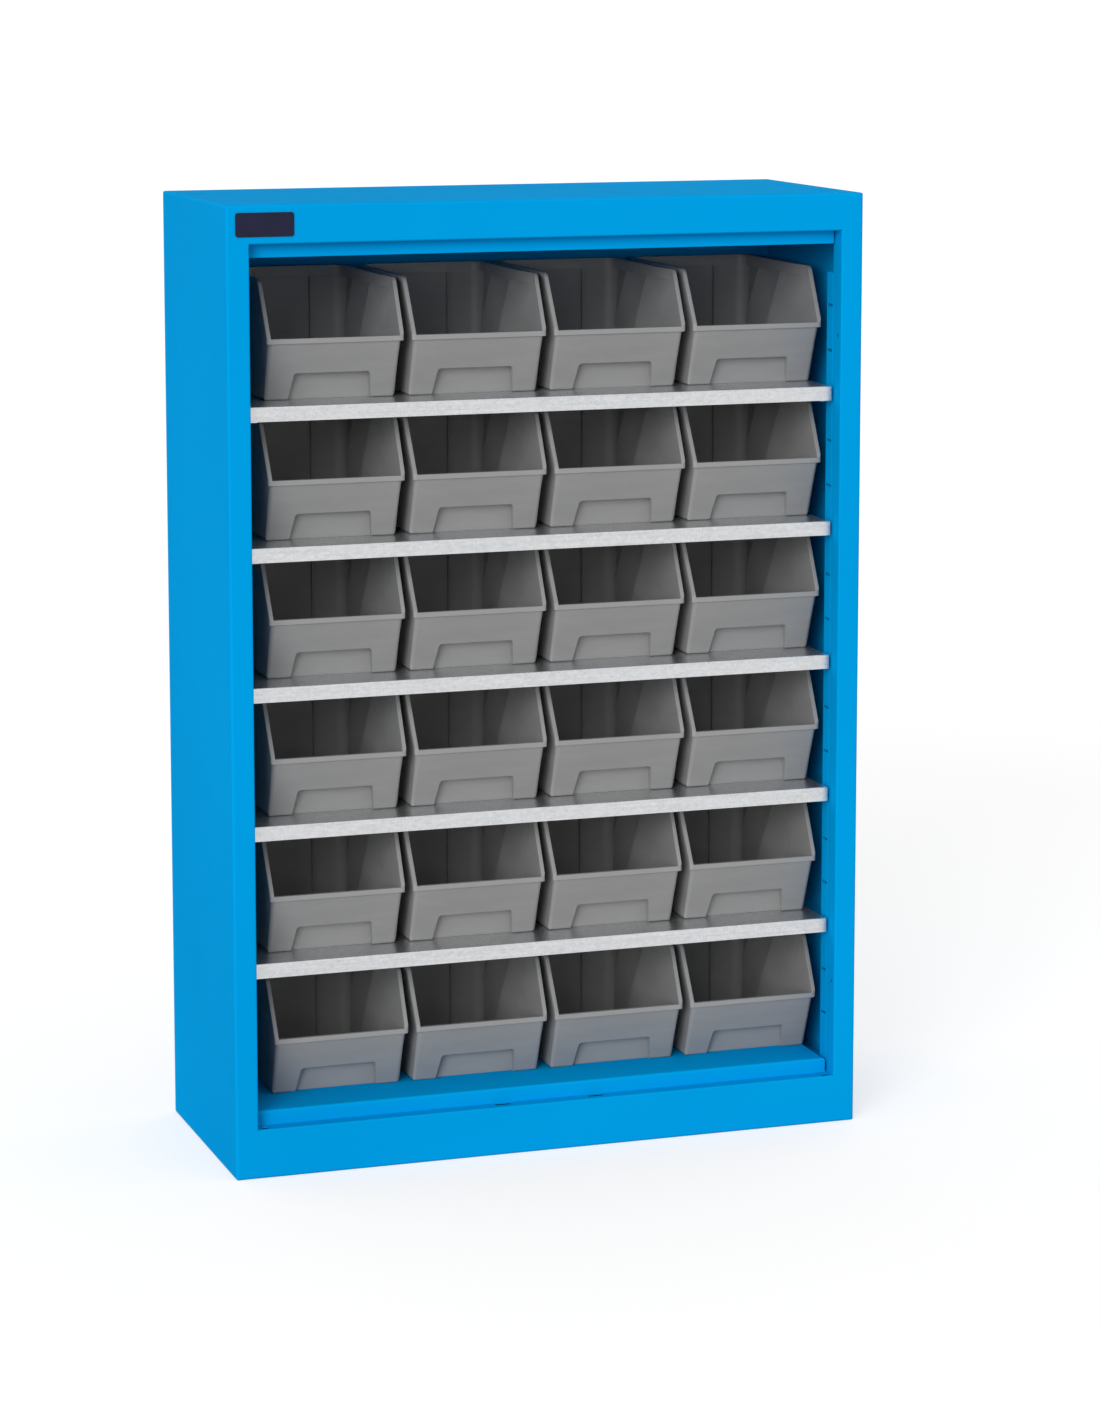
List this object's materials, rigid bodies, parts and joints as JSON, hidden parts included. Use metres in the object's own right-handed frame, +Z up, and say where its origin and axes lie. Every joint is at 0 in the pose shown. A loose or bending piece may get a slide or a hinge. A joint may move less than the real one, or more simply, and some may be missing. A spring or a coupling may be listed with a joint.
{
  "type": "parts bin cabinet",
  "caption": "Open-fronted sheet-steel cabinet with galvanised shelves clipped to slotted uprights and rows of loose open-fronted plastic bins for small parts.",
  "frame": {"origin": "middle of the cabinet's base, on the floor", "axes": "+Z up; the open front faces -Y; +X to the right as seen from the front"},
  "size_m": [0.717, 0.2808, 1.045],
  "materials": {
    "blue_paint": "fine-grained satin powder coat",
    "galvanised": "galvanised sheet, faintly spangled",
    "bin_plastic": "satin moulded",
    "plate": "smooth"
  },
  "bodies": {
    "cabinet": {"left_side": "blue_paint", "right_side": "blue_paint", "top_panel": "blue_paint", "bottom_panel": "blue_paint", "back_panel": "blue_paint", "floor_pan": "blue_paint", "upright_front_left": "blue_paint", "upright_front_right": "blue_paint", "upright_rear_left": "blue_paint", "upright_rear_right": "blue_paint", "shelf_1": "galvanised", "shelf_2": "galvanised", "shelf_3": "galvanised", "shelf_4": "galvanised", "shelf_5": "galvanised", "clips_1": "galvanised", "clips_2": "galvanised", "clips_3": "galvanised", "clips_4": "galvanised", "clips_5": "galvanised", "name_plate": "plate"},
    "bin_1_1": {"bin_1_1": "bin_plastic"},
    "bin_1_2": {"bin_1_2": "bin_plastic"},
    "bin_1_3": {"bin_1_3": "bin_plastic"},
    "bin_1_4": {"bin_1_4": "bin_plastic"},
    "bin_2_1": {"bin_2_1": "bin_plastic"},
    "bin_2_2": {"bin_2_2": "bin_plastic"},
    "bin_2_3": {"bin_2_3": "bin_plastic"},
    "bin_2_4": {"bin_2_4": "bin_plastic"},
    "bin_3_1": {"bin_3_1": "bin_plastic"},
    "bin_3_2": {"bin_3_2": "bin_plastic"},
    "bin_3_3": {"bin_3_3": "bin_plastic"},
    "bin_3_4": {"bin_3_4": "bin_plastic"},
    "bin_4_1": {"bin_4_1": "bin_plastic"},
    "bin_4_2": {"bin_4_2": "bin_plastic"},
    "bin_4_3": {"bin_4_3": "bin_plastic"},
    "bin_4_4": {"bin_4_4": "bin_plastic"},
    "bin_5_1": {"bin_5_1": "bin_plastic"},
    "bin_5_2": {"bin_5_2": "bin_plastic"},
    "bin_5_3": {"bin_5_3": "bin_plastic"},
    "bin_5_4": {"bin_5_4": "bin_plastic"},
    "bin_6_1": {"bin_6_1": "bin_plastic"},
    "bin_6_2": {"bin_6_2": "bin_plastic"},
    "bin_6_3": {"bin_6_3": "bin_plastic"},
    "bin_6_4": {"bin_6_4": "bin_plastic"}
  },
  "joints": [
    {"name": "bin_1_1_slide", "type": "slide", "parent": "cabinet", "child": "bin_1_1", "axis": [0, -1, 0], "range_m": [0, 0.12]},
    {"name": "bin_1_2_slide", "type": "slide", "parent": "cabinet", "child": "bin_1_2", "axis": [0, -1, 0], "range_m": [0, 0.12]},
    {"name": "bin_1_3_slide", "type": "slide", "parent": "cabinet", "child": "bin_1_3", "axis": [0, -1, 0], "range_m": [0, 0.12]},
    {"name": "bin_1_4_slide", "type": "slide", "parent": "cabinet", "child": "bin_1_4", "axis": [0, -1, 0], "range_m": [0, 0.12]},
    {"name": "bin_2_1_slide", "type": "slide", "parent": "cabinet", "child": "bin_2_1", "axis": [0, -1, 0], "range_m": [0, 0.12]},
    {"name": "bin_2_2_slide", "type": "slide", "parent": "cabinet", "child": "bin_2_2", "axis": [0, -1, 0], "range_m": [0, 0.12]},
    {"name": "bin_2_3_slide", "type": "slide", "parent": "cabinet", "child": "bin_2_3", "axis": [0, -1, 0], "range_m": [0, 0.12]},
    {"name": "bin_2_4_slide", "type": "slide", "parent": "cabinet", "child": "bin_2_4", "axis": [0, -1, 0], "range_m": [0, 0.12]},
    {"name": "bin_3_1_slide", "type": "slide", "parent": "cabinet", "child": "bin_3_1", "axis": [0, -1, 0], "range_m": [0, 0.12]},
    {"name": "bin_3_2_slide", "type": "slide", "parent": "cabinet", "child": "bin_3_2", "axis": [0, -1, 0], "range_m": [0, 0.12]},
    {"name": "bin_3_3_slide", "type": "slide", "parent": "cabinet", "child": "bin_3_3", "axis": [0, -1, 0], "range_m": [0, 0.12]},
    {"name": "bin_3_4_slide", "type": "slide", "parent": "cabinet", "child": "bin_3_4", "axis": [0, -1, 0], "range_m": [0, 0.12]},
    {"name": "bin_4_1_slide", "type": "slide", "parent": "cabinet", "child": "bin_4_1", "axis": [0, -1, 0], "range_m": [0, 0.12]},
    {"name": "bin_4_2_slide", "type": "slide", "parent": "cabinet", "child": "bin_4_2", "axis": [0, -1, 0], "range_m": [0, 0.12]},
    {"name": "bin_4_3_slide", "type": "slide", "parent": "cabinet", "child": "bin_4_3", "axis": [0, -1, 0], "range_m": [0, 0.12]},
    {"name": "bin_4_4_slide", "type": "slide", "parent": "cabinet", "child": "bin_4_4", "axis": [0, -1, 0], "range_m": [0, 0.12]},
    {"name": "bin_5_1_slide", "type": "slide", "parent": "cabinet", "child": "bin_5_1", "axis": [0, -1, 0], "range_m": [0, 0.12]},
    {"name": "bin_5_2_slide", "type": "slide", "parent": "cabinet", "child": "bin_5_2", "axis": [0, -1, 0], "range_m": [0, 0.12]},
    {"name": "bin_5_3_slide", "type": "slide", "parent": "cabinet", "child": "bin_5_3", "axis": [0, -1, 0], "range_m": [0, 0.12]},
    {"name": "bin_5_4_slide", "type": "slide", "parent": "cabinet", "child": "bin_5_4", "axis": [0, -1, 0], "range_m": [0, 0.12]},
    {"name": "bin_6_1_slide", "type": "slide", "parent": "cabinet", "child": "bin_6_1", "axis": [0, -1, 0], "range_m": [0, 0.12]},
    {"name": "bin_6_2_slide", "type": "slide", "parent": "cabinet", "child": "bin_6_2", "axis": [0, -1, 0], "range_m": [0, 0.12]},
    {"name": "bin_6_3_slide", "type": "slide", "parent": "cabinet", "child": "bin_6_3", "axis": [0, -1, 0], "range_m": [0, 0.12]},
    {"name": "bin_6_4_slide", "type": "slide", "parent": "cabinet", "child": "bin_6_4", "axis": [0, -1, 0], "range_m": [0, 0.12]}
  ]
}
